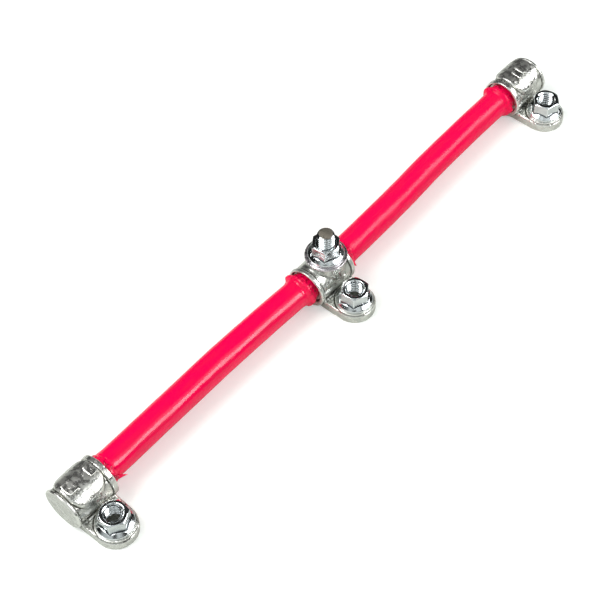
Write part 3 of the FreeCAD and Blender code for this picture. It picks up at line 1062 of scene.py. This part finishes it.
@dataclass
class Stud:
    """The stud, its cast-in head and the washer under its nut.

    The stud stands at a place along X and across in Y, from its foot to its top.
    """

    thread: Thread = Thread()
    along: float = 1.8
    across: float = 21.5
    foot: float = 21.0
    head: float = 7.5
    head_thick: float = 2.0
    head_edge: float = 0.2
    top: float = 43.6
    chamfer: float = 0.9
    nut_base: float = 26.5
    nut_turn: float = 36.0
    washer: float = 11.6
    washer_hole: float = 5.2
    washer_thick: float = 1.5
    washer_burr: float = 0.25
    voxel: float = 0.19

    def rod(self) -> Piece:
        """Models the stud, its thread in step with its nut's.

        Returns:
            The bare stud.
        """
        low = self.foot - self.nut_base
        neck = low + self.head_thick
        high = self.top - self.nut_base
        wide, edge = self.thread.crest, self.head_edge
        piece = self.thread.rod("stud_threaded", neck - 2 * edge, high)
        tip = wide - self.chamfer
        trim = [
            (0, neck - 1), (wide + 1, neck - 1), (wide + 1, high - self.chamfer - 1.0),
            (tip + 0.15, high - 0.12), (tip - 0.15, high), (0, high),
        ]
        combine(piece, turn_on_lathe("trim", trim), Work.TRIM)
        head = [
            (0, low), (self.head - edge, low), (self.head, low + edge),
            (self.head, neck - edge), (self.head - edge, neck), (0, neck),
        ]
        combine(piece, turn_on_lathe("stud_head", head), Work.JOIN)
        piece.location = (self.along * MM, self.across * MM, self.nut_base * MM)
        piece.rotation_euler = Euler((0, 0, math.radians(self.nut_turn)))
        settle(piece)
        outward(piece, MERGE / 10)
        self.mark_thread(piece)
        return soften(piece, 32)

    def mark_thread(self, rod: Piece) -> None:
        """Stores "ridge": over FLAT on the thread's crests, under it at its root.

        Args:
            rod: the stud.
        """
        middle = (self.thread.crest + self.thread.root) / 2
        depth = self.thread.crest - self.thread.root
        x, y, z = rows(rod.data, "co").T / MM
        away = np.hypot(x - self.along, y - self.across)
        share = np.clip((away - middle) / depth, -0.5, 0.5)
        store(rod, "ridge", np.where(z > self.top - 0.2, FLAT, FLAT + 0.24 * share))

    def dull_the_end(self, rod: Piece, material: bpy.types.Material) -> None:
        """Gives the sheared end face a finish of its own.

        Args:
            rod: the stud.
            material: the end's finish.
        """
        rod.data.materials.append(material)
        for face in rod.data.polygons:
            if face.center.z > (self.top - 0.05) * MM and face.normal.z > 0.8:
                face.material_index = 1

    def ring(self) -> Piece:
        """Models the washer, punched with rounded edges.

        Returns:
            The bare washer.
        """
        hole, wide, thick, burr = self.washer_hole, self.washer, self.washer_thick, self.washer_burr
        profile = [
            (hole + burr, 0), (wide - 0.5, 0), (wide - 0.15, 0.12), (wide, 0.45),
            (wide, thick - 0.45), (wide - 0.15, thick - 0.12), (wide - 0.5, thick),
            (hole + burr, thick), (hole, thick - burr), (hole, burr), (hole + burr, 0),
        ]
        piece = turn_on_lathe("stud_washer_ring", profile, 128)
        piece.location = (self.along * MM, self.across * MM, (self.nut_base - thick) * MM)
        settle(piece)
        melt(piece, self.voxel, 2)
        mark_edges(piece, 2)
        return soften(piece)

    def build(self, materials: Materials) -> list[Piece]:
        """Models and dresses the stud and its washer.

        Args:
            materials: the finishes' materials.

        Returns:
            The stud and the washer.
        """
        rod = hand_over(self.rod(), "stud", materials[Finish.BRIGHT_ZINC])
        self.dull_the_end(rod, materials[Finish.SHEARED_STEEL])
        ring = hand_over(self.ring(), "stud_washer", materials[Finish.DULL_ZINC])
        return [rod, ring]


@dataclass
class NutPlace:
    """Where one nut stands: its node, its base and its turn."""

    node: str
    base: Point
    turn: float


@dataclass
class FlangeNuts:
    """Hexagon nuts with a flange, modelled once."""

    places: list[NutPlace]
    thread: Thread = Thread()
    corner: float = 8.25
    corner_soft: float = 0.3
    tall: float = 10.0
    flats_from: float = 1.0
    flats_turn: float = 30.0
    flange: float = 9.9
    flange_edge: float = 1.8
    cone_radius: float = 6.845
    cone_top: float = 4.2
    crown: float = 6.795
    crown_drop: float = 0.85
    mouth: float = 5.6
    mouth_depth: float = 0.95
    mouth_slope: float = 1.15
    play: float = 0.1
    groove: float = 0.7
    groove_depth: float = 0.45
    voxel: float = 0.21

    def prism(self, corner: float, low: float, high: float) -> Piece:
        """Models a six-sided bar.

        Args:
            corner: its radius at the corners.
            low: its lower end.
            high: its upper end.

        Returns:
            The bar.
        """
        bpy.ops.mesh.primitive_cylinder_add(
            vertices=6, radius=corner * MM, depth=(high - low) * MM,
            location=(0, 0, (high + low) / 2 * MM), rotation=(0, 0, math.radians(self.flats_turn)),
        )
        return settle(bpy.context.view_layer.objects.active)

    def hexagon(self) -> Piece:
        """Models the six flats, their corners turned down to a crown.

        Returns:
            The nut's upper part, without its hole.
        """
        body = self.prism(self.corner, self.flats_from, self.tall)
        with edit(body, "EDGE"):
            keep_edges(body, lambda first, last: abs(first.z - last.z) > MM)
            bpy.ops.mesh.bevel(offset=self.corner_soft * MM, segments=3)
        fall = self.crown_drop / (self.corner - self.crown)
        wide = self.corner + 2
        low = self.tall - fall * (wide - self.crown)
        crown = [(0, 0), (wide, 0), (wide, low), (self.crown, self.tall), (0, self.tall)]
        return combine(body, turn_on_lathe("crown", crown), Work.TRIM)

    def cone(self, sink: float) -> Piece:
        """Models the flange, a round-edged disc under a cone.

        Args:
            sink: how much lower the cone's top is.

        Returns:
            The flange.
        """
        edge, rise = self.flange, self.flange_edge
        profile = [
            (0, 0), (edge - 0.35, 0), (edge - 0.1, 0.12), (edge, 0.4), (edge, rise - 0.45),
            (edge - 0.12, rise - 0.12), (edge - 0.42, rise + 0.12),
            (self.cone_radius, self.cone_top - sink), (0, self.cone_top - sink),
        ]
        return turn_on_lathe("skirt", profile, 128)

    def skirt(self) -> Piece:
        """Models the flange with a shallow groove along the foot of the flats.

        Returns:
            The nut's lower part, without its hole.
        """
        around = self.prism(self.corner + self.groove, -2 * self.tall, 2 * self.tall)
        outer = combine(self.cone(0.0), around, Work.CUT)
        return combine(outer, self.cone(self.groove_depth), Work.JOIN)

    def bore(self) -> Piece:
        """Models the threaded hole with its countersinks.

        Returns:
            The hole as a solid.
        """
        past = 0.5
        hole = self.thread.rod("tap", -2 * past, self.tall + 2 * past, self.play)
        sink = self.mouth_depth
        wide, small = self.mouth + past, self.mouth - sink * self.mouth_slope
        for base, end in ((self.tall + past, self.tall - sink), (-past, sink)):
            outline = [(0, end), (small, end), (wide, base), (0, base)]
            if base < end:
                outline.reverse()
            hole = combine(hole, turn_on_lathe("countersink", outline), Work.JOIN)
        return hole

    def master(self) -> Piece:
        """Models one nut, standing on the origin.

        Returns:
            The nut.
        """
        body = combine(self.hexagon(), self.skirt(), Work.JOIN)
        body = combine(body, self.bore(), Work.CUT)
        melt(body, self.voxel, 3)
        mark_edges(body, 2)
        return soften(body)

    def build(self, materials: Materials) -> list[Piece]:
        """Models one nut and dresses a copy of it at each place.

        Args:
            materials: the finishes' materials.

        Returns:
            The nuts, named after their nodes.
        """
        master = self.master()
        nuts = []
        for place in self.places:
            nut = own_copy(master, place.node + "_threaded")
            nut.location = Vector(place.base) * MM
            nut.rotation_euler = Euler((0, 0, math.radians(place.turn)))
            zinc = materials[Finish.BRIGHT_ZINC]
            nuts.append(hand_over(settle(nut), place.node, zinc))
        bpy.data.objects.remove(master, do_unlink=True)
        return nuts


STUD = Stud()
NUTS = FlangeNuts(
    [
        NutPlace("left_ear_nut", (-178.0, 2.7, 6.2), 27.0),
        NutPlace("centre_ear_nut", (0.0, 0.0, 6.2), 36.0),
        NutPlace("right_ear_nut", (178.0, 2.7, 6.2), 43.0),
        NutPlace("stud_nut", (STUD.along, STUD.across, STUD.nut_base), STUD.nut_turn),
    ]
)


# The studio


def direction(azimuth: float, elevation: float) -> Vector:
    """The unit vector toward an azimuth and an elevation."""
    a, e = math.radians(azimuth), math.radians(elevation)
    return Vector((math.cos(e) * math.cos(a), math.cos(e) * math.sin(a), math.sin(e)))


@dataclass
class Glow:
    """A soft patch of the surroundings that only gloss shows, bright or, below 0, dark.

    Inner and outer are the angles from its direction at which it starts and ends to fade.
    """

    azimuth: float
    elevation: float
    inner: float
    outer: float
    level: float


@dataclass
class Lamp:
    """A soft rectangular lamp aimed at the bar, in metres and watts.

    One that is only gleam shows in gloss and lights nothing else.
    """

    name: str
    azimuth: float
    elevation: float
    away: float
    wide: float
    tall: float
    power: float
    gleam: bool = False

    def build(self) -> None:
        """Hangs the lamp."""
        data = bpy.data.lights.new(self.name, "AREA")
        data.shape = "RECTANGLE"
        data.size = self.wide
        data.size_y = self.tall
        data.energy = self.power
        holder = new_object(self.name, data)
        holder.visible_diffuse = not self.gleam
        toward = direction(self.azimuth, self.elevation)
        turn = (-toward).to_track_quat("-Z", "Y").to_matrix().to_4x4()
        holder.matrix_world = Matrix.Translation(toward * self.away) @ turn


@dataclass
class Studio:
    """Camera, floor, lamps and surroundings.

    The floor's lift for the camera grows past its edge and is none in the ear holes; its gloss
    fades from near to far beside the bar.
    """

    camera_place: Point = (-364.823, -298.119, 647.457)
    camera_aim: Point = (-15.8943, 25.2357, 0.0)
    camera_roll: float = -2.2327
    camera_lens: float = 88.899
    floor_size: float = 8000.0
    floor_drop: float = 0.05
    floor_colour: Colour = (0.765, 0.80, 0.755)
    lift_colour: Colour = (0.97, 0.98, 1.0)
    lift: tuple[float, float] = (0.35, 1.2)
    edge: float = 420.0
    holes: tuple[Point, ...] = ((-178.0, 2.7, 0.0), (0.0, 0.0, 0.0), (178.0, 2.7, 0.0))
    hole_radius: float = 7.0
    near: float = 100.0
    far: float = 190.0
    gloss: tuple[float, float] = (0.85, 0.1)
    ambient: float = 0.6
    gloss_colour: Colour = (0.95, 1.0, 1.0)
    dark: float = 0.015
    glows: tuple[Glow, ...] = (
        Glow(-54, 40, 9, 24, 1.4), Glow(-137, 56, 13, 38, 0.85),
        Glow(-143, 41, 4, 14, -0.75), Glow(-137, 65, 2, 8, -0.85),
        Glow(-140, -4, 10, 24, 1.0), Glow(-178, 6, 14, 40, 0.6),
    )
    lamps: tuple[Lamp, ...] = (
        Lamp("key lamp", 138, 56, 1.6, 0.8, 0.8, 14.0),
        Lamp("side lamp", -58, 36, 1.0, 0.9, 0.38, 3.0),
        Lamp("side gleam", -58, 36, 1.01, 0.9, 0.38, 5.0, gleam=True),
    )

    def camera(self) -> None:
        """Sets up the camera, at the photograph's angle."""
        data = bpy.data.cameras.new("camera")
        data.sensor_width = 36.0
        data.lens = self.camera_lens
        data.clip_start = 0.01
        data.clip_end = 20.0
        holder = new_object("camera", data)
        place, aim = Vector(self.camera_place) * MM, Vector(self.camera_aim) * MM
        look = (aim - place).to_track_quat("-Z", "Y")
        roll = Quaternion((0, 0, 1), math.radians(self.camera_roll))
        holder.matrix_world = Matrix.Translation(place) @ (look @ roll).to_matrix().to_4x4()
        bpy.context.scene.camera = holder

    def floor(self) -> None:
        """Lays a pale floor, white outside the shadow and dark far out in gloss."""
        bpy.ops.mesh.primitive_plane_add(
            size=self.floor_size * MM, location=(0, 0, -self.floor_drop * MM)
        )
        plane = settle(bpy.context.view_layer.objects.active)
        plane.name = "floor"
        material, graph = new_material("pale floor")
        place = graph.add("TexCoord").outputs["Object"]
        out = graph.add("VectorMath", {0: place}, operation="LENGTH").outputs["Value"]
        glow = graph.between(out, self.edge * MM, 3 * self.edge * MM, *self.lift)
        for hole in self.holes:
            ends = {0: place, 1: tuple(Vector(hole) * MM)}
            away = graph.add("VectorMath", ends, operation="DISTANCE").outputs["Value"]
            past = graph.math("GREATER_THAN", away, self.hole_radius * MM)
            glow = graph.math("MULTIPLY", glow, past)
        matt = graph.add("BsdfDiffuse", {"Color": (*self.floor_colour, 1.0)}).outputs[0]
        lift = {"Color": (*self.lift_colour, 1.0), "Strength": glow}
        lift = graph.add("Emission", lift).outputs[0]
        bright = graph.add("AddShader", {0: matt, 1: lift}).outputs[0]
        across = graph.math("ABSOLUTE", graph.add("SeparateXYZ", {0: place}).outputs["Y"])
        share = graph.between(across, self.near * MM, self.far * MM, *self.gloss)
        black = graph.add("Emission", {"Strength": 0.0}).outputs[0]
        gloss = graph.add("MixShader", {0: share, 1: black, 2: matt}).outputs[0]
        mixed = graph.by_ray("Is Glossy Ray", matt, gloss)
        mixed = graph.by_ray("Is Camera Ray", mixed, bright)
        graph.add("OutputMaterial", {"Surface": mixed})
        plane.data.materials.append(material)

    def world(self) -> None:
        """Makes an even pale room, whose dark and bright parts only gloss shows."""
        world = bpy.data.worlds.new("studio")
        bpy.context.scene.world = world
        world.use_nodes = True
        graph = Graph(world.node_tree)
        way = graph.add("TexCoord").outputs["Generated"]
        level: object = self.dark
        for glow in self.glows:
            ends = {0: way, 1: tuple(direction(glow.azimuth, glow.elevation))}
            dot = graph.add("VectorMath", ends, operation="DOT_PRODUCT").outputs["Value"]
            outer, inner = (math.cos(math.radians(angle)) for angle in (glow.outer, glow.inner))
            level = graph.math("ADD", graph.between(dot, outer, inner, 0.0, glow.level), level)
        white = (1.0, 1.0, 1.0)
        looks = ((white, self.ambient), (self.gloss_colour, level), (white, 1.0))
        even, gloss, back = (
            graph.add("Background", {"Color": (*colour, 1.0), "Strength": strength}).outputs[0]
            for colour, strength in looks
        )
        mixed = graph.by_ray("Is Glossy Ray", even, gloss)
        mixed = graph.by_ray("Is Camera Ray", mixed, back)
        graph.add("OutputWorld", {"Surface": mixed})

    def build(self) -> None:
        """Makes everything round the bar."""
        self.camera()
        self.floor()
        self.world()
        for lamp in self.lamps:
            lamp.build()
        bpy.context.scene.view_settings.view_transform = "Standard"


def main() -> None:
    """Builds the bar piece by piece and reports each piece."""
    logging.basicConfig(level=logging.INFO, format="%(message)s")
    materials = {finish: finish.value.material() for finish in Finish}
    for assembly in (*TERMINALS, LEFT_JACKET, RIGHT_JACKET, NUTS, STUD):
        for piece in assembly.build(materials):
            LOG.info("%s: %d faces", piece.name, len(piece.data.polygons))
    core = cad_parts["conductor"]
    core.data.materials.clear()
    core.data.materials.append(materials[Finish.BARE_COPPER])
    Studio().build()


if __name__ == "__main__":
    main()
